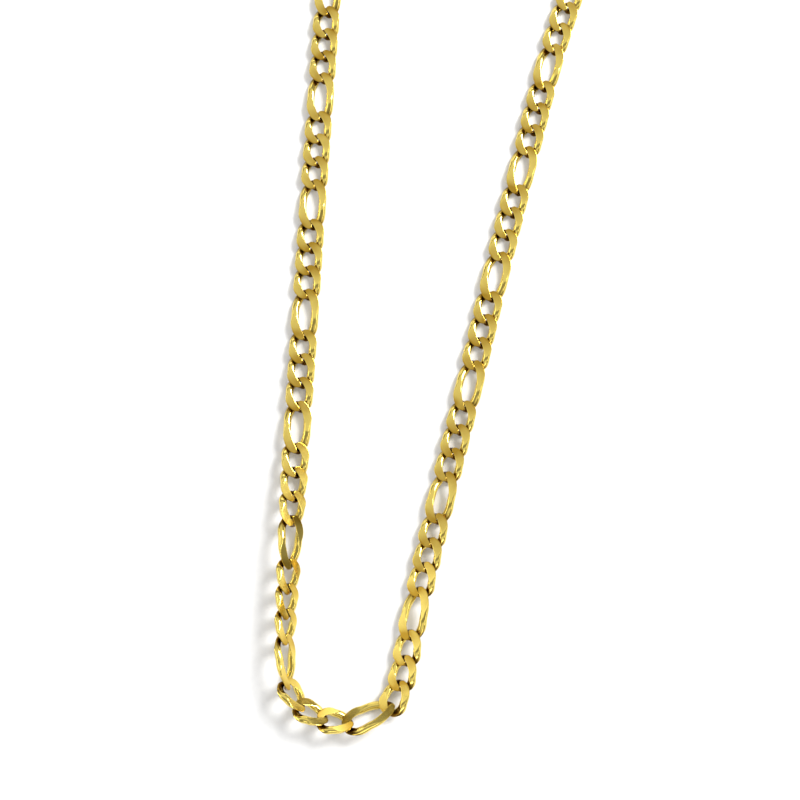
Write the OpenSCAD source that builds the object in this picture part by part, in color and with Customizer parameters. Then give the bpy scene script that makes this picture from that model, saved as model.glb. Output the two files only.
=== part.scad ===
// Figaro chain necklace: three short links and one long link, over and over,
// lying on a flat surface as one closed loop. Millimetres, +Z up.

/* [Chain] */
// Outer width of every link
chain_w = 5; // [4.9:0.05:5.3]
// Thickness between the two ground faces
chain_t = 1.15; // [1:0.05:1.25]
// Diameter of the wire that the links are bent from
wire_d = 1.25; // [1.15:0.01:1.3]
// Inner length of a short link
short_inner = 4.6; // [4.5:0.05:6]
// Inner length of a long link
long_inner = 7.69; // [6:0.01:10]
// Short links before each long one
shorts = 3; // [1:1:5]
// Times that the pattern repeats in the whole chain
repeats = 25; // [24:1:27]

/* [Twist] */
// Turn of each end of a link out of its flat middle
end_twist = 60; // [57:1:63]
// Length over which an end is turned
twist_reach = 2.9; // [2.8:0.05:3.1]
// Distance between two crossing wires before their corners are taken off
pass_gap = 0.36; // [0.32:0.01:0.4]

/* [Rings] */
// Outer diameter of each jump ring
ring_od = 6; // [5.8:0.1:6.6]
// Wire of each jump ring
ring_wire = 1; // [0.9:0.05:1.1]
// Play between a ring and what it holds
ring_play = 0.45; // [0.35:0.05:0.5]

/* [Clasp] */
// Overall length of the clasp
clasp_l = 15; // [14:0.5:18]
// Width of the clasp across its body
clasp_w = 7.6; // [7.4:0.1:9]
// Thickness of the clasp at its body
clasp_t = 4.6; // [4.4:0.1:5]
// Thickness and width of the bar at the clasp's nose
nose_bar = 1.2; // [1.1:0.05:1.3]
// Wire of the clasp's eye
eye_wire = 1; // [0.8:0.05:1.1]
// Inner diameter of the clasp's eye
eye_bore = 2.6; // [2.4:0.1:3]

/* [Hidden] */
gold = "#d9b84f";

wire_r = wire_d / 2;
half_t = chain_t / 2;
// half width of the wire's centreline loop
bow_r = (chain_w - wire_d) / 2;
// height of the wire's centre where it passes over or under its neighbour
lift = pass_gap / 2 + wire_r;
// a six-sided section reaches this share of the wire's radius up and down
section_reach = 0.9;

// One link, in its own frame: X along the chain, Z out of its upper face.
// Centreline of the flat loop, anticlockwise, half a long and bow_r wide
bow_turns = [-90:45:90];
mid_points = [0.35, -0.35];
function loop_of(a) =
    let (
        leg = a - bow_r,
        mids = leg > twist_reach / 2 ? mid_points * leg : [0],
        half = concat(
            [for (q = bow_turns) [leg + bow_r * cos(q), bow_r * sin(q)]],
            [for (x = mids) [x, bow_r]]
        )
    )
    concat(half, -half);
function twist_at(x, a) = -sign(x) * end_twist * max(0, 1 - (a - abs(x)) / twist_reach);
function capped(v, most) = max(-most, min(most, v));
function turned(p, a) =
    let (q = twist_at(p.x, a))
    [p.x, p.y * cos(q), capped(p.y * sin(q), lift)];
function unit(v) = v / norm(v);

// Six corners round the wire at c, where it runs along t, ground off at both faces
function section(c, t) =
    let (
        out = unit([t.y, -t.x, 0]),
        up = cross(out, unit(t)),
        reach = section_reach * wire_r,
        top = min(reach, (half_t - c.z) / up.z),
        low = max(-reach, (-half_t - c.z) / up.z),
        mid = (top + low) / 2,
        side = function (m) sqrt(wire_r * wire_r - m * m)
    )
    concat(
        [for (m = [low, mid, top]) c + side(m) * out + m * up],
        [for (m = [top, mid, low]) c - side(m) * out + m * up]
    );
SIDES = 6;
function link_corners(inner) =
    let (a = (inner + wire_d) / 2, line = [for (p = loop_of(a)) turned(p, a)], n = len(line))
    [for (i = [0:n - 1]) each section(line[i], line[(i + 1) % n] - line[(i + n - 1) % n])];
short_corners = link_corners(short_inner);
long_corners = link_corners(long_inner);

// The route that the chain lies on, clockwise from the bottom link's right joint,
// [x, y], chosen by hand. The last third, from y = 120 up, closes the loop plainly.
route = [
    [-1.6, -4.5], [-8.2, -6.7], [-12.4, -6.2], [-16.3, -4.1], [-18.5, -0.4], [-18.8, 5.5],
    [-18.6, 14], [-18.2, 23], [-17.4, 41], [-16.3, 61], [-15.2, 81], [-14, 101],
    [-12.8, 121], [-11.2, 150], [-9.8, 175], [-8.4, 191.5], [-4.5, 205.2], [3, 213.5],
    [12, 218], [21, 221.5], [29.5, 223.1], [37, 221.1], [43.2, 215.9], [47.6, 207.7],
    [49.6, 197.5], [49.2, 185], [46.4, 170.5], [41.2, 153],
    [34.6, 133], [28.7, 115], [26, 106], [21.1, 87], [16.3, 68], [11.6, 48.6],
    [6.8, 29.6], [2.2, 10], [1, 3.6], [0.1, -0.7]
];

// How the links lie, chosen by hand: [link, roll, joint play, yaw]. Link 0 is the long one
// at the bottom and links count clockwise. Roll lifts the outer edge, and yaw turns a link
// out of the line between its joints, as far as the play lets it.
LINK = 0;
ROLL = 1;
PLAY = 2;
YAW = 3;
lay = [
    [-60, 0, 0.6, 0], [-47, 0, 0.6, 0], [-43, 0, 0.45, 0], [-16, 0, 0.45, 0],
    [-12, 4, 0.45, 0], [-8, 12, 0.45, 0], [-4, 24, 0.45, 0], [-2, 24, 0.45, 0],
    [-1, 23, 0.5, 1], [0, 33, 0.5, 6], [1, 40, 0.45, 0], [2, 46, 0.4, 3], [3, 52, 0.4, 4],
    [4, 60, 0.45, 2], [5, 56, 0.5, 0], [7, 48, 0.5, 0], [8, 42, 0.5, 0], [12, 10, 0.5, 0],
    [16, 0, 0.45, 0], [43, 0, 0.45, 0], [47, 0, 0.6, 0], [60, 0, 0.6, 0]
];

// Links from the bottom one to each end
per_repeat = shorts + 1;
left_links = floor(repeats / 2) * per_repeat;
right_links = repeats * per_repeat - left_links - 1;

function column(c) = [for (row = lay) [row[LINK], row[c]]];
rolls = column(ROLL);
plays = column(PLAY);
yaws = column(YAW);
function is_long(k) = k % per_repeat == 0;
function inner_of(k) = is_long(k) ? long_inner : short_inner;
function corners_of(k) = is_long(k) ? long_corners : short_corners;
function pitch(k) = inner_of(k) - lookup(k, plays);

// Height of a rolled link's middle with its lowest corner on the surface
function rest_h(k) =
    let (roll = lookup(k, rolls))
    -min([for (c = corners_of(k)) c.y * sin(roll) + c.z * cos(roll)]);

// The ends of the chain rise to the rings: share of the rise, by joints from the end
ring_r = (ring_od - ring_wire) / 2;
ring_h = clasp_t / 2;
ring_lean = asin((ring_h - ring_wire / 2) / ring_r);
end_rise = [[0, 1], [1, 0.69], [2, 0.42], [3, 0.21], [4, 0.06], [5, 0]];
function rise(k) = (ring_h - half_t) * lookup(min(left_links - k, k + 1 + right_links), end_rise);

// Height of the joint between link k and the next one clockwise
function joint_h(k) = (rest_h(k) + rest_h(k + 1)) / 2 + rise(k);

// Smooth closed curve through the route's points
steps = 8;
function curve_point(a, b, c, d, u) =
    (2 * b + (c - a) * u + (2 * a - 5 * b + 4 * c - d) * u * u
    + (3 * b - a - 3 * c + d) * u * u * u) / 2;
function smooth(pts) =
    let (n = len(pts))
    [for (i = [0:n - 1], j = [0:steps - 1])
        curve_point(pts[(i + n - 1) % n], pts[i], pts[(i + 1) % n], pts[(i + 2) % n], j / steps)];
track = smooth(route);
function length_of(pts) =
    let (n = len(pts), each_one = [for (i = [0:n - 1]) norm(pts[(i + 1) % n] - pts[i])])
    each_one * [for (i = [0:n - 1]) 1];

// First stretch of the curve that leaves a circle of radius r round p
function leaves(pts, i, p, r) =
    norm(pts[(i + 1) % len(pts)] - p) >= r ? i : leaves(pts, i + 1, p, r);
// Point at distance r from p on stretch i
function on_stretch(pts, i, p, r) =
    let (a = pts[i % len(pts)], d = pts[(i + 1) % len(pts)] - a, w = a - p)
    a + d * (-(w * d) + sqrt(pow(w * d, 2) - (d * d) * (w * w - r * r))) / (d * d);
// Joints from p onwards, one per link, at each link's own pitch
function walk(pts, i, p, k, last, way) =
    k == last ? [p] :
    let (
        dz = joint_h(way > 0 ? k : k - 1) - joint_h(way > 0 ? k - 1 : k),
        r = sqrt(pow(pitch(k), 2) - dz * dz),
        j = leaves(pts, i, p, r)
    )
    concat([p], walk(pts, j, on_stretch(pts, j, p, r), k + way, last, way));
function backwards(v) = [for (i = [len(v) - 1:-1:0]) v[i]];
function sized(pts, s) = [for (p = pts) pts[0] + (p - pts[0]) * s];
function left_walk(s) = walk(sized(track, s), 0, track[0], 0, left_links + 1, 1);
function right_walk(s) =
    let (pts = sized(track, s), back = concat([pts[0]], backwards([for (i = [1:len(pts) - 1]) pts[i]])))
    walk(back, 0, track[0], -1, -right_links - 1, -1);

// The clasp and its two rings bridge the gap between the chain's ends
ring_in = ring_r - ring_wire / 2;
clasp_in = clasp_l - eye_wire - nose_bar;
// The clasp's body
tail_r = 1.7;
tail_t = 3;
nose_r = 1.1;
slot_l = 5.4;
slot_w = 4.2;
bridge = 2 * (2 * ring_in - ring_play) + clasp_in - ring_play;
function last_of(v) = v[len(v) - 1];
function gap_at(s) =
    let (v = last_of(right_walk(s)) - last_of(left_walk(s)))
    sign(v.x) * norm(v);
// Size of the route at which that gap is right
function route_size(s, tries) =
    tries == 0 ? s : route_size(s + (bridge - gap_at(s)) / length_of(track), tries - 1);
size = route_size(1, 4);
left_joints = left_walk(size);
right_joints = right_walk(size);

// Joints at both ends of link k, clockwise, with their heights
function joint(k) =
    let (p = k >= 0 ? left_joints[k + 1] : right_joints[-k - 1])
    [p.x, p.y, joint_h(k)];

// Skin round the corners of a link
module link(corners) {
    n = len(corners) / SIDES;
    faces = [
        for (i = [0:n - 1], j = [0:SIDES - 1])
            let (
                here = i * SIDES,
                next = (i + 1) % n * SIDES,
                k = (j + 1) % SIDES
            )
            each [[here + j, here + k, next + k], [here + j, next + k, next + j]]
    ];
    polyhedron(corners, faces);
}

// Frame of link k between its two joints: along, across, up and the middle
function frame_of(k) =
    let (
        from = joint(k - 1),
        to = joint(k),
        yaw = lookup(k, yaws),
        chord = unit(to - from),
        flat = unit([chord.x, chord.y, 0]),
        left = [-flat.y, flat.x, 0],
        along = unit((flat * cos(yaw) + left * sin(yaw)) * norm([chord.x, chord.y]) + [0, 0, chord.z]),
        level = unit(cross([0, 0, 1], along)),
        rise = cross(along, level),
        roll = lookup(k, rolls),
        across = level * cos(roll) + rise * sin(roll),
        up = rise * cos(roll) - level * sin(roll),
        low = min([for (c = corners_of(k)) c.x * along.z + c.y * across.z + c.z * up.z]),
        mid = (from + to) / 2
    )
    [along, across, up, [mid.x, mid.y, -low + (rise(k - 1) + rise(k)) / 2]];

// Middle of the whole loop, which the part's origin lies under
function ends_of(v) = [min(v), max(v)];
reach = [
    for (k = [-right_links:left_links])
        let (f = frame_of(k))
        each [for (c = corners_of(k)) f[3] + c.x * f[0] + c.y * f[1] + c.z * f[2]]
];
x_ends = ends_of([for (p = reach) p.x]);
y_ends = ends_of([for (p = reach) p.y]);
middle = [(x_ends[0] + x_ends[1]) / 2, (y_ends[0] + y_ends[1]) / 2, 0];

// Puts a link between its two joints, rolled about the line through them
module lay_link(k) {
    f = frame_of(k);
    multmatrix([for (i = [0:2]) [f[0][i], f[1][i], f[2][i], f[3][i] - middle[i]]])
        link(corners_of(k));
}

// Puts what hangs between the chain's ends along the line from one end to the other,
// s along it from the end of the left strand
from_end = joint(left_links);
to_end = joint(-right_links - 1);
bridge_turn = atan2(to_end.y - from_end.y, to_end.x - from_end.x);
module on_bridge(s) {
    translate([from_end.x, from_end.y, ring_h] - middle)
        rotate(bridge_turn)
            translate([s, 0, 0])
                children();
}

module ring_of(r, wire) {
    rotate_extrude($fn = 28)
        translate([r, 0])
            circle(d = wire, $fn = 8);
}
module jump_ring(lean) {
    rotate([lean, 0, 0])
        ring_of(ring_r, ring_wire);
}

// A flat disc with both rims taken off
module puck(x, y, r, t, rim) {
    translate([x, y, -t / 2])
        hull() {
            translate([0, 0, rim])
                cylinder(h = t - 2 * rim, r = r, $fn = 24);
            cylinder(h = t, r = r - rim, $fn = 24);
        }
}

module chain_left() {
    color(gold)
        for (k = [0:left_links]) lay_link(k);
}
module chain_right() {
    color(gold)
        for (k = [-right_links:-1]) lay_link(k);
}
module clasp_ring() {
    color(gold)
        on_bridge(ring_in - ring_play / 2)
            jump_ring(ring_lean);
}
module end_ring() {
    color(gold)
        on_bridge(bridge - ring_in + ring_play / 2)
            jump_ring(-ring_lean);
}
// A plain closed clasp: eye, body with a slot through it, and the bar at its nose
module lobster_clasp() {
    tip = 2 * ring_in - 1.5 * ring_play - eye_wire;
    eye_x = eye_wire + eye_bore / 2;
    nose_x = clasp_l - nose_bar;
    color(gold)
        on_bridge(tip) {
            translate([eye_x, 0, 0])
                ring_of((eye_bore + eye_wire) / 2, eye_wire);
            difference() {
                union() {
                    hull() {
                        puck(eye_x + eye_bore / 2 + tail_r + 0.3, 0, tail_r, tail_t, 0.4);
                        puck(nose_x - 3.8, 0, clasp_w / 2, clasp_t, 0.8);
                    }
                    hull()
                        for (side = [-1, 1], x = [nose_x - 3, clasp_l - nose_r])
                            puck(x, side * (slot_w / 2 - 0.1), nose_r, nose_bar, 0.25);
                }
                hull() {
                    translate([nose_x - slot_l + slot_w / 2, 0, -clasp_t])
                        cylinder(h = 2 * clasp_t, d = slot_w, $fn = 24);
                    translate([nose_x - 1, -slot_w / 2, -clasp_t])
                        cube([1, slot_w, 2 * clasp_t]);
                }
            }
        }
}

chain_left();
chain_right();
clasp_ring();
end_ring();
lobster_clasp();
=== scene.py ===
# %% [markdown]
# # A figaro chain in gold-plated steel
#
# The real thing is a necklace: short and long wire links, three short ones to each long one, closed
# by a small clasp. It lies on a white table in one narrow loop. A CAD model already gives every link
# its place and its coarse form. This file gives the chain its looks in Blender: round polished wire,
# faces that were ground flat, soft edges, a gold finish, and the light of a small photo studio.
#
# The CAD model is loaded first. Its objects are never moved.

import math

import bmesh
import bpy
import numpy as np
from mathutils import Matrix, Vector


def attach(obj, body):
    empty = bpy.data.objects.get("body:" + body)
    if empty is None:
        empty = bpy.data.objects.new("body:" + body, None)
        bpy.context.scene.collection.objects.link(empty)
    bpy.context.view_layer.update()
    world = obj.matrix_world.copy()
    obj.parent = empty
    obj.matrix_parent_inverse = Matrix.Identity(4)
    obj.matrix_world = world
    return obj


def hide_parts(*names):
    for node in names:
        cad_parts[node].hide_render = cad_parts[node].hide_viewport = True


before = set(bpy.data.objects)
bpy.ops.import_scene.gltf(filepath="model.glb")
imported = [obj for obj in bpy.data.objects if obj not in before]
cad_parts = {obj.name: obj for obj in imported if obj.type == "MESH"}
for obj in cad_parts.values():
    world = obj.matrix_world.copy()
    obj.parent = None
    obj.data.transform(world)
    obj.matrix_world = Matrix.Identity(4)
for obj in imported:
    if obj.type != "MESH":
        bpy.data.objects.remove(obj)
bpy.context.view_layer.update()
print("CAD parts:", sorted(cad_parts))

# %% [markdown]
# Blender works in metres here, and a jeweller in millimetres, so lengths are written in millimetres
# and turned by one small function. The thickness is that of the finished chain. The width and the two
# lengths are those of the plain bent links. The finished ones come out half a millimetre shorter,
# because their tips are pinched, and each prints its size.

# %% Sizes of a link
def mm(length):
    return length / 1000


LINK_WIDTH = mm(4.65)
LINK_THICKNESS = mm(1.15)
SHORT_LENGTH = mm(6.55)
LONG_LENGTH = mm(9.65)
WIRE = mm(1.28)

wire_radius = WIRE / 2
half_thickness = LINK_THICKNESS / 2
bow_radius = (LINK_WIDTH - WIRE) / 2
print("bow radius in mm:", round(1000 * bow_radius, 3))

# %% [markdown]
# Blender's operators work on what is selected. Right after loading, the CAD objects are, so a new
# piece always starts by letting go of everything. Corners are then selected in code by a rule
# about where they are, which says more to a reader than a list of numbers.

# %% Small helpers for working by hand
SAME_PLACE = mm(0.001)  # corners nearer to each other than this count as one


def let_go():
    bpy.ops.object.select_all(action="DESELECT")
    bpy.context.view_layer.objects.active = None


def take(obj):
    let_go()
    obj.select_set(True)
    bpy.context.view_layer.objects.active = obj


def select_corners(rule):
    """In edit mode, selects the corners whose place meets the rule, and counts them."""
    bpy.ops.mesh.select_mode(type="VERT")
    bpy.ops.mesh.select_all(action="DESELECT")
    mesh = bmesh.from_edit_mesh(bpy.context.edit_object.data)
    for corner in mesh.verts:
        corner.select = bool(rule(corner.co))
    mesh.select_flush_mode()
    bmesh.update_edit_mesh(bpy.context.edit_object.data)
    return sum(corner.select for corner in mesh.verts)


def select_faces(rule):
    """In edit mode, selects the faces that meet the rule, and counts them."""
    bpy.ops.mesh.select_mode(type="FACE")
    bpy.ops.mesh.select_all(action="DESELECT")
    mesh = bmesh.from_edit_mesh(bpy.context.edit_object.data)
    for face in mesh.faces:
        face.select = bool(rule(face))
    mesh.select_flush_mode()
    bmesh.update_edit_mesh(bpy.context.edit_object.data)
    return sum(face.select for face in mesh.faces)


# %% [markdown]
# A link starts as one piece of wire, bent round a flat oval rod, cut and soldered shut. So the model
# starts as the wire's centre line: a circle whose two halves are pulled apart until the legs are
# long enough. A torus could be stretched in the same way, but a bare line is easier to twist next,
# and it only gets its thickness when its path is right.

# %% Bend the wire's centre line
ROUND_POINTS = 56
BOW_SHARE = 0.8  # of the half length, the part that is curved
STATION_GAP = mm(0.4)  # along the straight legs


def bend_line(name, length):
    half_length = (length - WIRE) / 2
    bow_length = BOW_SHARE * half_length
    leg = half_length - bow_length
    let_go()
    bpy.ops.mesh.primitive_circle_add(vertices=ROUND_POINTS, radius=bow_radius)
    line = bpy.context.object
    line.name = name
    bpy.ops.object.mode_set(mode="EDIT")
    bpy.ops.mesh.select_all(action="SELECT")
    bpy.ops.transform.resize(value=(bow_length / bow_radius, 1, 1), center_override=(0, 0, 0))
    for side in (1, -1):
        select_corners(lambda p: p.x * side > SAME_PLACE)
        bpy.ops.transform.translate(value=(side * leg, 0, 0))
    cuts = max(1, round(leg / STATION_GAP))
    bpy.ops.mesh.select_mode(type="EDGE")
    bpy.ops.mesh.select_all(action="DESELECT")
    mesh = bmesh.from_edit_mesh(line.data)
    for edge in mesh.edges:
        edge.select = edge.calc_length() > leg
    bmesh.update_edit_mesh(line.data)
    bpy.ops.mesh.subdivide(number_cuts=cuts)
    return line, half_length


# %% [markdown]
# A plain oval link would stand on edge beside its neighbours. The maker twists the soldered chain, so
# that both ends of every link turn out of its flat middle in opposite senses: one leg rises where the
# other dips, and the neighbour passes between them. Here every station of the line is turned
# about the link's long axis, by nothing at the middle and by more and more towards the ends. Turning
# alone would make the ends look pointed from above, and on the real chain they stay broad, because
# rollers press it flat again. So each station is then widened most of the way back, and no point may
# rise further than the next wire's room allows. Without a window, the rotate operator turns the
# other way round, which is why the angle has its sign changed.

# %% Twist and press the line
END_TWIST = math.radians(74)
TWIST_REACH = mm(4)  # from the tip
TWIST_EASE = 1.7  # 1 would be an even twist
PLAN_KEPT = 0.7  # 1 would give back the full width seen from above
LIFT = mm(0.84)  # of the wire's middle, at most


def twist_line(line, half_length):
    stations = {round(v.co.x, 7) for v in bmesh.from_edit_mesh(line.data).verts}
    for x in sorted(stations):
        share = max(0, 1 - (half_length - abs(x)) / min(half_length, TWIST_REACH))
        turn = -math.copysign(END_TWIST * share**TWIST_EASE, x)
        widen = math.cos(turn) ** -PLAN_KEPT
        select_corners(lambda p: abs(p.x - x) < SAME_PLACE)
        bpy.ops.transform.rotate(value=-turn, orient_axis="X", center_override=(0, 0, 0))
        bpy.ops.transform.resize(value=(1, widen, 1), center_override=(0, 0, 0))
    for side in (1, -1):
        if select_corners(lambda p: p.z * side > LIFT):
            bpy.ops.transform.resize(value=(1, 1, 0), center_override=(0, 0, side * LIFT))
    bpy.ops.object.mode_set(mode="OBJECT")


# %% [markdown]
# Now the line becomes wire. Turned into a curve, it takes a round section that stays square to its
# path, also where the path climbs, which a twisted torus would not do. Where the rollers pressed the
# wires that pass each other, the metal went sideways, so the curve's radius grows a little with
# the height of the line. The very tip was stretched by the twisting and has its neighbour's tip
# close beside it, so the wire is pinched there.

# %% Give the line its thickness
PRESSED_WIDER = 0.2
TIP_PINCH = 0.5
PINCH_REACH = mm(0.8)
ROUND_STEPS = 8


def make_wire(line, half_length):
    take(line)
    bpy.ops.object.convert(target="CURVE")
    line.data.bevel_depth = wire_radius
    line.data.bevel_resolution = ROUND_STEPS
    for point in line.data.splines[0].points:
        height = abs(point.co.z) / LIFT
        near_tip = max(0, 1 - (half_length - abs(point.co.x)) / PINCH_REACH)
        wider = PRESSED_WIDER * height * (1 - near_tip)
        point.radius = 1 + wider - TIP_PINCH * near_tip * (1 - height)
    bpy.ops.object.convert(target="MESH")
    return bpy.context.object


# %% [markdown]
# Then the chain is ground on both sides, down to one thickness. A bisect could do that on a simple
# rod, but where the wire only just touches the wheel its cut is ragged and may not close. So what the
# wheels leave is modelled instead, as a slab, and a boolean keeps what link and slab share. Each leg
# rises at one end and dips at the other, so it gets a flat on top there and one below here, and
# between the two its wire stays round. That is what gives each leg its two tones of gold.

# %% Grind both faces
def make_slab(half_length):
    reach = 2 * (half_length + WIRE)
    let_go()
    bpy.ops.mesh.primitive_cube_add(size=1, scale=(reach, 2 * LINK_WIDTH, LINK_THICKNESS))
    slab = bpy.context.object
    bpy.ops.object.transform_apply(scale=True)
    return slab


def grind(link, half_length):
    slab = make_slab(half_length)
    take(link)
    ground = link.modifiers.new("ground on both faces", "BOOLEAN")
    ground.operation = "INTERSECT"
    ground.solver = "EXACT"
    ground.use_self = True
    ground.object = slab
    bpy.ops.object.modifier_apply(modifier=ground.name)
    bpy.data.objects.remove(slab)


# %% [markdown]
# A tumbling drum full of steel pins polishes the ground chain, which rounds the sharp rims of the flat
# faces by less than a tenth of a millimetre. That small curve is what catches the light as a thin
# line. Each flat face is inset by that width, and its old rim is lowered. Weighted normals then keep
# the big face looking flat, while the rim and the wire shade smoothly into each other. The boolean
# left each flat as one face with many corners, and that is how it is found.

# %% Soften the rims
RIM = mm(0.09)
RIM_DROP = mm(0.035)
FLAT_CORNERS = 8
FACES_OUT = 0.9
UNMOVED = mm(0.0001)
SMOOTH_UP_TO = math.radians(50)


def is_flat(face):
    return len(face.verts) > FLAT_CORNERS and abs(face.normal.z) > FACES_OUT


def soften(link):
    bpy.ops.object.mode_set(mode="EDIT")
    for up in (1, -1):
        select_faces(lambda face: is_flat(face) and face.normal.z * up > 0)
        rims = [v.co.copy() for v in bmesh.from_edit_mesh(link.data).verts if v.select]
        bpy.ops.mesh.inset(thickness=RIM, use_boundary=True)
        bpy.ops.mesh.select_mode(type="VERT")
        mesh = bmesh.from_edit_mesh(link.data)
        inner = {v.index for v in mesh.verts if v.select}
        bpy.ops.mesh.select_all(action="DESELECT")
        for v in mesh.verts:
            on_rim = any((v.co - rim).length < UNMOVED for rim in rims)
            v.select = v.index not in inner and on_rim
        mesh.select_flush_mode()
        bmesh.update_edit_mesh(link.data)
        bpy.ops.transform.translate(value=(0, 0, -up * RIM_DROP))
    bpy.ops.mesh.select_all(action="SELECT")
    bpy.ops.mesh.normals_make_consistent(inside=False)
    flats = select_faces(is_flat)
    bpy.ops.object.mode_set(mode="OBJECT")
    bpy.ops.object.shade_smooth_by_angle(angle=SMOOTH_UP_TO)
    weigh = link.modifiers.new("flat faces stay flat", "WEIGHTED_NORMAL")
    weigh.keep_sharp = True
    bpy.ops.object.modifier_apply(modifier=weigh.name)
    return flats


# %% [markdown]
# Later, shade is painted into the gold where links meet: darker towards the ends of each link,
# and dark brown deep inside a joint, where the neighbour passes. A texture can't know where that
# is, so each corner of the mesh is told here, while the link still lies at the origin: one number
# says how near the link's ends it is, the other how deep it lies between the two ground faces
# there. They are kept as attributes, which stay with the mesh when it is copied and joined. Each
# rises from 0 to 1 over a stretch of the half length, and the second fades out over a stretch of
# the half thickness.

# %% Mark the joints and make both links
NEAR_ALONG = (0.35, 0.95)
INSIDE_ALONG = (0.55, 0.85)
INSIDE_FADES = (0.5, 0.92)


def ease(value, start, end):
    share = min(1, max(0, (value - start) / (end - start)))
    return share * share * (3 - 2 * share)


def mark_painted_shade(link, half_length):
    """Gives each corner two numbers: how near a joint it is, and how deep inside that joint."""
    # Both numbers say where shade is painted into the gold: darker near the ends, dark brown deep in a
    # joint.
    near = link.data.attributes.new("near_joint", "FLOAT", "POINT")
    deep = link.data.attributes.new("in_joint", "FLOAT", "POINT")
    for corner, near_value, deep_value in zip(link.data.vertices, near.data, deep.data):
        along = abs(corner.co.x) / half_length
        height = abs(corner.co.z) / half_thickness
        near_value.value = ease(along, *NEAR_ALONG)
        deep_value.value = ease(along, *INSIDE_ALONG) * (1 - ease(height, *INSIDE_FADES))


def make_link(name, length):
    line, half_length = bend_line(name, length)
    twist_line(line, half_length)
    link = make_wire(line, half_length)
    grind(link, half_length)
    flats = soften(link)
    mark_painted_shade(link, half_length)
    link.data.calc_loop_triangles()
    size = [round(1000 * s, 2) for s in link.dimensions]
    print(name, "mm:", size, "flats:", flats, "triangles:", len(link.data.loop_triangles))
    return link


short_link = make_link("short_link", SHORT_LENGTH)
long_link = make_link("long_link", LONG_LENGTH)

# %% [markdown]
# Where does each link lie? The CAD strands hold a coarse link at every place. A copy of a strand is
# merged and split into its loose parts, and each part tells its middle and its three main
# directions: the longest is along the link, the shortest is out of its flat face. A link looks the
# same after half a turn about any of the three, so it doesn't matter which way they point.

# %% Read the places from the CAD strands
def loose_parts(node):
    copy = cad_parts[node].copy()
    copy.data = copy.data.copy()
    copy.parent = None
    bpy.context.scene.collection.objects.link(copy)
    take(copy)
    bpy.ops.object.mode_set(mode="EDIT")
    bpy.ops.mesh.select_all(action="SELECT")
    bpy.ops.mesh.remove_doubles(threshold=SAME_PLACE)
    bpy.ops.mesh.separate(type="LOOSE")
    bpy.ops.object.mode_set(mode="OBJECT")
    parts = list(bpy.context.selected_objects)
    corners = [np.array([v.co for v in part.data.vertices]) for part in parts]
    for part in parts:
        bpy.data.objects.remove(part)
    return corners


def lie_of(corners):
    """Matrix that takes a piece from its own axes to where these corners lie."""
    middle = corners.mean(0)
    axes = np.linalg.eigh(np.cov((corners - middle).T))[1]
    along = Vector(axes[:, 2])
    out = Vector(axes[:, 0])
    if out.z < 0:
        out = -out
    across = out.cross(along)
    turn = Matrix((along, across, out)).transposed()
    return Matrix.Translation(middle) @ turn.to_4x4()


def length_of(corners):
    along = lie_of(corners).to_3x3().col[0]
    reach = corners @ np.array(along)
    return reach.max() - reach.min()


# %% [markdown]
# Each place gets a copy of the short or the long link, whichever is nearer in length. Every copy
# has its own mesh, and all copies of a strand are then joined into one object, which stands for
# that strand of the CAD model: it rides on the root body, and the CAD strand is hidden.

# %% Lay the links
def hand_over(piece, name, node):
    """Names a finished piece, puts it on the root body and hides the CAD part that it replaces."""
    piece.name = name
    piece.data.name = name
    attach(piece, "root")
    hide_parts(node)
    piece.data.calc_loop_triangles()
    print(name, "triangles:", len(piece.data.loop_triangles))


def lay_strand(node, name):
    middle_length = (SHORT_LENGTH + LONG_LENGTH) / 2
    copies = []
    for corners in loose_parts(node):
        kind = long_link if length_of(corners) > middle_length else short_link
        copy = kind.copy()
        copy.data = kind.data.copy()
        copy.data.transform(lie_of(corners))
        bpy.context.scene.collection.objects.link(copy)
        copies.append(copy)
    let_go()
    for copy in copies:
        copy.select_set(True)
    bpy.context.view_layer.objects.active = copies[0]
    bpy.ops.object.join()
    strand = bpy.context.object
    hand_over(strand, name, node)
    print(name, "links:", len(copies))
    return strand


left_strand = lay_strand("chain_left", "left_strand")
right_strand = lay_strand("chain_right", "right_strand")
for pattern in (short_link, long_link):
    bpy.data.objects.remove(pattern)

# %% [markdown]
# The hidden end of the necklace is closed by a clasp between two jump rings. A jump ring is wire
# wound round a rod and sawn off, so it is a torus with one thin seam. Two bisects beside the seam give
# the torus a narrow band there, and the band's middle is pulled in a little, which shows as a fine
# line. The rings can't lie flat, because what they hold is too thick, so they lean until their wire
# touches the table. The CAD rings say where their middles are.

# %% Make the two jump rings
RING_RADIUS = mm(2.5)
RING_WIRE = mm(1)
SEAM = mm(0.06)
SEAM_PINCH = 0.9


def middle_of(node):
    corners = np.array([v.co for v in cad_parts[node].data.vertices])
    return Vector((corners.min(0) + corners.max(0)) / 2)


ring_middle = middle_of("clasp_ring")
bridge_way = (middle_of("end_ring") - ring_middle).normalized()
bridge_turn = math.atan2(bridge_way.y, bridge_way.x)
ring_lean = math.asin((ring_middle.z - RING_WIRE / 2) / RING_RADIUS)
print("bridge turned by", round(math.degrees(bridge_turn), 2))
print("rings lean by", round(math.degrees(ring_lean), 2))


def lay_on_bridge(piece, middle, lean, name, node):
    turn = Matrix.Rotation(bridge_turn, 4, "Z") @ Matrix.Rotation(lean, 4, "X")
    piece.data.transform(Matrix.Translation(middle) @ turn)
    hand_over(piece, name, node)
    return piece


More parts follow.
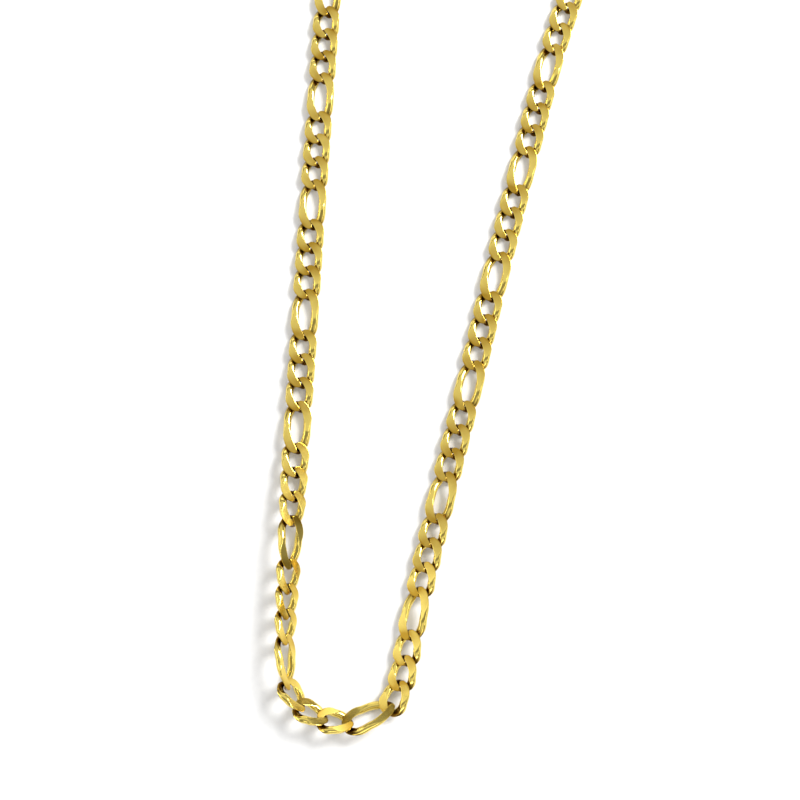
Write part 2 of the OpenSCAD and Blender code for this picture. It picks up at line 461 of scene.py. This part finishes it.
def make_jump_ring():
    let_go()
    bpy.ops.mesh.primitive_torus_add(
        major_radius=RING_RADIUS, minor_radius=RING_WIRE / 2, major_segments=64, minor_segments=20
    )
    ring = bpy.context.object
    bpy.ops.object.mode_set(mode="EDIT")
    for place in (-SEAM / 2, SEAM / 2):
        select_faces(lambda face: face.calc_center_median().y > 0)
        bpy.ops.mesh.bisect(plane_co=(place, 0, 0), plane_no=(1, 0, 0))
    select_corners(lambda p: p.y > 0 and abs(p.x) < SEAM / 4)
    middle = (0, RING_RADIUS, 0)
    bpy.ops.transform.resize(value=(1, SEAM_PINCH, SEAM_PINCH), center_override=middle)
    bpy.ops.object.mode_set(mode="OBJECT")
    bpy.ops.object.shade_smooth()
    return ring


clasp_jump_ring = lay_on_bridge(
    make_jump_ring(), ring_middle, ring_lean, "clasp_jump_ring", "clasp_ring"
)
end_jump_ring = lay_on_bridge(
    make_jump_ring(), middle_of("end_ring"), -ring_lean, "end_jump_ring", "end_ring"
)

# %% [markdown]
# The clasp is cast in one piece, then tumbled until it is round all over. Seen from above it is a drop
# with an oval hole: broad where a finger holds it, narrow at the tail, thin at the nose that goes
# through the ring. Two circles make the drop and its hole. Each is pulled into its oval, and a bridge
# between them gives the face. Extruding makes the wall, and each corner then gets the height of its
# place, so that the clasp swells behind its hole and thins out to both ends. It is shown shut.

# %% Model the clasp from two circles
CLASP_ROUND = 32
BODY_MIDDLE = mm(10)
BODY_RADIUS = mm(3.8)
TAIL_MIDDLE = mm(5.6)
TAIL_RADIUS = mm(1.7)
NOSE_END = mm(15)
HOLE_MIDDLE = mm(10.5)
HOLE_RADIUS = mm(2.1)
HOLE_END = mm(13.8)
WALL = mm(1)
# place along the clasp and thickness there, both in mm, before it is rounded and stretched
THICKNESS_AT = [
    (3.9, 2.2), (5.6, 3.2), (8.2, 4.6), (10.0, 3.9), (12.0, 2.5), (13.8, 1.4), (15.0, 1.2)
]


def thickness_at(x):
    places, heights = zip(*THICKNESS_AT)
    return mm(float(np.interp(1000 * x, places, heights)))


def make_clasp_outline():
    let_go()
    bpy.ops.mesh.primitive_circle_add(
        vertices=CLASP_ROUND, radius=BODY_RADIUS, location=(BODY_MIDDLE, 0, 0)
    )
    clasp = bpy.context.object
    bpy.ops.object.transform_apply(location=True)
    bpy.ops.object.mode_set(mode="EDIT")
    middle = (BODY_MIDDLE, 0, 0)
    smaller = TAIL_RADIUS / BODY_RADIUS
    tangent = BODY_MIDDLE - BODY_RADIUS * (BODY_RADIUS - TAIL_RADIUS) / (BODY_MIDDLE - TAIL_MIDDLE)
    select_corners(lambda p: p.x < tangent)
    bpy.ops.transform.resize(value=(smaller, smaller, 1), center_override=middle)
    bpy.ops.transform.translate(value=(TAIL_MIDDLE - BODY_MIDDLE, 0, 0))
    select_corners(lambda p: p.x > BODY_MIDDLE)
    longer = (NOSE_END - BODY_MIDDLE) / BODY_RADIUS
    bpy.ops.transform.resize(value=(longer, 1, 1), center_override=middle)
    bpy.ops.mesh.primitive_circle_add(
        vertices=CLASP_ROUND, radius=HOLE_RADIUS, location=(HOLE_MIDDLE, 0, 0)
    )
    just_outside = 1.01 * HOLE_RADIUS
    select_corners(
        lambda p: HOLE_MIDDLE < p.x and math.hypot(p.x - HOLE_MIDDLE, p.y) < just_outside
    )
    longer = (HOLE_END - HOLE_MIDDLE) / HOLE_RADIUS
    bpy.ops.transform.resize(value=(longer, 1, 1), center_override=(HOLE_MIDDLE, 0, 0))
    return clasp


def swell(clasp):
    """Closes the face, gives it a wall, and sets each corner to the thickness at its place."""
    bpy.ops.mesh.select_mode(type="EDGE")
    bpy.ops.mesh.select_all(action="SELECT")
    bpy.ops.mesh.bridge_edge_loops()
    bpy.ops.mesh.select_all(action="SELECT")
    bpy.ops.mesh.extrude_region_move(TRANSFORM_OT_translate={"value": (0, 0, WALL)})
    mesh = bmesh.from_edit_mesh(clasp.data)
    for corner in mesh.verts:
        side = 1 if corner.co.z > WALL / 2 else -1
        corner.co.z = side * thickness_at(corner.co.x) / 2
    bpy.ops.mesh.select_all(action="SELECT")
    bpy.ops.mesh.normals_make_consistent(inside=False)
    bmesh.update_edit_mesh(clasp.data)
    bpy.ops.object.mode_set(mode="OBJECT")


closed_clasp = make_clasp_outline()
swell(closed_clasp)
print("clasp body mm:", [round(1000 * s, 2) for s in closed_clasp.dimensions])

# %% [markdown]
# So far the clasp is a coarse cage with a square section all the way round its hole. A subdivision
# surface makes such a section round, as tumbling does with the cast metal. It also shrinks it, most
# of all in thickness, so the clasp is stretched back to its size. The eye is a small torus of thinner
# wire, let into the tail as if it were soldered there. The clasp starts a little beyond the middle
# of the ring that carries it.

# %% Round the clasp and give it its eye
EYE_MIDDLE = mm(2.3)
EYE_RADIUS = mm(1.8)
EYE_WIRE = mm(1)
CLASP_THICKNESS = mm(4.6)
CLASP_START = mm(0.55)
CLASP_SMOOTH_UP_TO = math.radians(60)

take(closed_clasp)
rounding = closed_clasp.modifiers.new("tumbled round", "SUBSURF")
rounding.levels = 2
bpy.ops.object.modifier_apply(modifier=rounding.name)
clasp_length = NOSE_END - TAIL_MIDDLE + TAIL_RADIUS
full_size = (clasp_length, 2 * BODY_RADIUS, CLASP_THICKNESS)
stretch = [full / shrunk for full, shrunk in zip(full_size, closed_clasp.dimensions)]
bpy.ops.object.mode_set(mode="EDIT")
bpy.ops.mesh.select_all(action="SELECT")
bpy.ops.transform.resize(value=stretch, center_override=(BODY_MIDDLE, 0, 0))
print("clasp stretched by", [round(s, 3) for s in stretch])
bpy.ops.mesh.select_all(action="DESELECT")
bpy.ops.mesh.primitive_torus_add(
    location=(EYE_MIDDLE, 0, 0), major_radius=EYE_RADIUS, minor_radius=EYE_WIRE / 2,
    major_segments=48, minor_segments=16
)
bpy.ops.object.mode_set(mode="OBJECT")
bpy.ops.object.shade_smooth_by_angle(angle=CLASP_SMOOTH_UP_TO)
clasp_start = ring_middle + bridge_way * CLASP_START
lay_on_bridge(closed_clasp, clasp_start, 0, "closed_clasp", "lobster_clasp")

# %% [markdown]
# A material is a small network of nodes. One helper turns a colour as a screen shows it, written in
# hex, into the linear one that Blender reckons with. The other adds a node, sets its values and
# links its inputs in one go.

# %% Small helpers for materials
def linear(hex_colour):
    channels = [int(hex_colour[i : i + 2], 16) / 255 for i in (1, 3, 5)]
    return [c / 12.92 if c <= 0.04045 else ((c + 0.055) / 1.055) ** 2.4 for c in channels] + [1]


def add_node(tree, kind, links=None, **settings):
    """Adds a node, sets its values by socket or property name, and links its inputs."""
    node = tree.nodes.new(kind)
    for key, value in settings.items():
        if hasattr(node, key):
            setattr(node, key, value)
        else:
            node.inputs[key.replace("_", " ")].default_value = value
    for key, source in (links or {}).items():
        tree.links.new(source, node.inputs[key])
    return node


# %% [markdown]
# The links are of stainless steel with a few tenths of a micrometre of gold on it, put on in a
# plating bath after tumbling. Gold of about 18 carat is a warm yellow that has no colour of its own
# but in its reflection, and deepens to brown where two wires reflect each other. It is a metal
# through and through, so the base colour is the colour of the reflection and the IOR stays as it is.
# Towards the ends of each link, near the joints, the gold is painted browner in patches: painted
# shade. Deep inside a joint, between the links, it is painted dark brown: painted shade too. The
# two attributes of the links say where that is. The flats were ground by hand and aren't true,
# which a broad, very shallow bump gives: waves 2.6 mm long. Polishing lines are a few hundredths
# of a millimetre apart on the real one, too fine to show here, so they are drawn 0.3 mm apart.

# %% Gold material
GOLD = "#e9d06d"
# painted shade towards the ends of each link, in patches
PAINTED_END_SHADE_GOLD = "#b08b2e"
# painted shade deep inside a joint, between the links
PAINTED_JOINT_SHADE_GOLD = "#5f400c"
WAVE_LENGTH = mm(2.6)
WAVE_DEPTH = mm(0.04)
LINE_GAP = mm(0.3)
LINE_DEPTH = mm(0.0015)
# the painted shade at the link's ends is full from this much on
END_SHADE_FULL_AT = 0.55
NOISE_RANGE = (0.3, 0.7)
ROUGHNESS_RANGE = (0.08, 0.12)

gold = bpy.data.materials.new("polished_gold_plate")
gold.use_nodes = True
tree = gold.node_tree
shader = tree.nodes["Principled BSDF"]
shader.inputs["Metallic"].default_value = 1
place = add_node(tree, "ShaderNodeTexCoord").outputs["Object"]
broad = add_node(tree, "ShaderNodeTexNoise", {"Vector": place}, Scale=1 / WAVE_LENGTH, Detail=1.0)
lines = add_node(tree, "ShaderNodeTexNoise", {"Vector": place}, Scale=1 / LINE_GAP, Detail=2.0)
# painted shade: browner gold in patches towards the ends of each link
joint = add_node(tree, "ShaderNodeAttribute", attribute_name="near_joint")
patchy = add_node(
    tree, "ShaderNodeMath", {0: joint.outputs["Fac"], 1: broad.outputs["Fac"]}, operation="MULTIPLY"
)
end_shade = add_node(
    tree, "ShaderNodeMapRange", {"Value": patchy.outputs[0]}, From_Max=END_SHADE_FULL_AT
)
colour = add_node(tree, "ShaderNodeMix", {"Factor": end_shade.outputs[0]}, data_type="RGBA")
colour.inputs["A"].default_value = linear(GOLD)
colour.inputs["B"].default_value = linear(PAINTED_END_SHADE_GOLD)
# painted shade: dark brown deep inside a joint, where the neighbour passes
inside = add_node(tree, "ShaderNodeAttribute", attribute_name="in_joint")
whole = add_node(tree, "ShaderNodeMix", {"Factor": inside.outputs["Fac"]}, data_type="RGBA")
tree.links.new(colour.outputs["Result"], whole.inputs["A"])
whole.inputs["B"].default_value = linear(PAINTED_JOINT_SHADE_GOLD)
tree.links.new(whole.outputs["Result"], shader.inputs["Base Color"])
dull = add_node(
    tree, "ShaderNodeMapRange", {"Value": lines.outputs["Fac"]},
    From_Min=NOISE_RANGE[0], From_Max=NOISE_RANGE[1],
    To_Min=ROUGHNESS_RANGE[0], To_Max=ROUGHNESS_RANGE[1]
)
tree.links.new(dull.outputs[0], shader.inputs["Roughness"])
waves = add_node(tree, "ShaderNodeBump", {"Height": broad.outputs["Fac"]}, Distance=WAVE_DEPTH)
scuffs = add_node(
    tree, "ShaderNodeBump", {"Height": lines.outputs["Fac"], "Normal": waves.outputs[0]},
    Distance=LINE_DEPTH
)
tree.links.new(scuffs.outputs[0], shader.inputs["Normal"])
for piece in (left_strand, right_strand, clasp_jump_ring, end_jump_ring, closed_clasp):
    piece.data.materials.clear()
    piece.data.materials.append(gold)
print(gold.name, "nodes:", len(gold.node_tree.nodes))

# %% [markdown]
# The chain lies on smooth white card, as for a catalogue picture. Card gives back about four fifths
# of the light, evenly and without gloss. It still comes out pure white in so much light, while the
# shadows keep their tone. Its fibres, a few hundredths of a millimetre thick, only show as a faint
# unevenness, which is drawn 0.8 mm coarse here.

# %% The white table
TABLE_SIZE = 6
FIBRE_GAP = mm(0.8)
CARD_ROUGHNESS = 0.9

let_go()
bpy.ops.mesh.primitive_plane_add(size=TABLE_SIZE)
table = bpy.context.object
table.name = "white_table"
card = bpy.data.materials.new("white_card")
card.use_nodes = True
tree = card.node_tree
card_shader = tree.nodes["Principled BSDF"]
card_shader.inputs["Roughness"].default_value = CARD_ROUGHNESS
place = add_node(tree, "ShaderNodeTexCoord").outputs["Object"]
fibres = add_node(tree, "ShaderNodeTexNoise", {"Vector": place}, Scale=1 / FIBRE_GAP, Detail=3.0)
white = add_node(tree, "ShaderNodeMix", {"Factor": fibres.outputs["Fac"]}, data_type="RGBA")
white.inputs["A"].default_value = linear("#e8e8e8")
white.inputs["B"].default_value = linear("#f0f0f0")
tree.links.new(white.outputs["Result"], card_shader.inputs["Base Color"])
table.data.materials.append(card)
print(table.name, "has the material", card.name)

# %% [markdown]
# Polished metal shows its surroundings, so the lights are chosen for what the links reflect. The key
# is a softbox at the back on the right, which throws the soft shadows to the left. Long narrow strips
# stand low all round: the round wire mirrors them as thin bright lines. A flat that looks up mirrors
# the space above the back of the table, so a wide dim panel hangs there. Three more dim panels light
# the flats that are rolled to the left, right or front, and a pale room keeps the rest from going
# black. What a mirror shows of a lamp is its brightness per area, so that is what each one is given,
# and its power is worked out from it.

# %% Light
LOOK_AT = Vector((mm(-15.796), mm(-61.185), 0))
LAMP_DISTANCE = 1
ROOM_BRIGHTNESS = 0.34


def softbox(name, azimuth, elevation, width, height, brightness):
    """A panel of light that faces the chain. Azimuth 0 is to the right, 90 at the back."""
    a, e = math.radians(azimuth), math.radians(elevation)
    way = Vector((math.cos(a) * math.cos(e), math.sin(a) * math.cos(e), math.sin(e)))
    let_go()
    bpy.ops.object.light_add(type="AREA", location=LOOK_AT + way * LAMP_DISTANCE)
    lamp = bpy.context.object
    lamp.name = name
    lamp.data.shape = "RECTANGLE"
    lamp.data.size = width
    lamp.data.size_y = height
    lamp.data.energy = brightness * math.pi * width * height
    lamp.rotation_mode = "QUATERNION"
    lamp.rotation_quaternion = way.to_track_quat("Z", "Y")


# name, azimuth and elevation in degrees, width and height in metres, brightness
softbox("key_softbox", 35, 38, 0.38, 0.38, 27)
softbox("right_panel", 12, 38, 0.5, 0.6, 0.6)
softbox("left_panel", 170, 40, 0.4, 0.4, 0.95)
softbox("right_strip", 0, 32, 1.3, 0.15, 3.4)
softbox("left_strip", 180, 24, 1.3, 0.15, 3)
softbox("front_strip", -90, 34, 1.1, 0.15, 3)
softbox("back_strip", 97, 18, 0.9, 0.25, 1.5)
softbox("ceiling_panel", 90, 62, 1.5, 1, 0.58)
softbox("front_panel", -90, 48, 1.2, 0.6, 0.6)

world = bpy.data.worlds.new("studio")
bpy.context.scene.world = world
world.use_nodes = True
room = world.node_tree.nodes["Background"]
room.inputs["Color"].default_value = linear("#ffffff")
room.inputs["Strength"].default_value = ROOM_BRIGHTNESS

# %% [markdown]
# The photograph was taken from some eleven degrees off straight above, a quarter of a metre away. The
# camera looks at the middle of the picture from there. Its view transform is the plain one, because
# a filmic one would turn the white card grey.

# %% Camera
EYE = Vector((mm(-15.796), mm(-108.045), mm(250)))
LENS = 67.5
SENSOR = 36
NEAREST = 0.01

let_go()
bpy.ops.object.camera_add(location=EYE)
camera = bpy.context.object
camera.rotation_mode = "QUATERNION"
camera.rotation_quaternion = (EYE - LOOK_AT).to_track_quat("Z", "Y")
camera.data.lens = LENS
camera.data.sensor_width = SENSOR
camera.data.clip_start = NEAREST
bpy.context.scene.camera = camera
print("camera's distance in mm:", round(1000 * (EYE - LOOK_AT).length))
bpy.context.scene.view_settings.view_transform = "Standard"
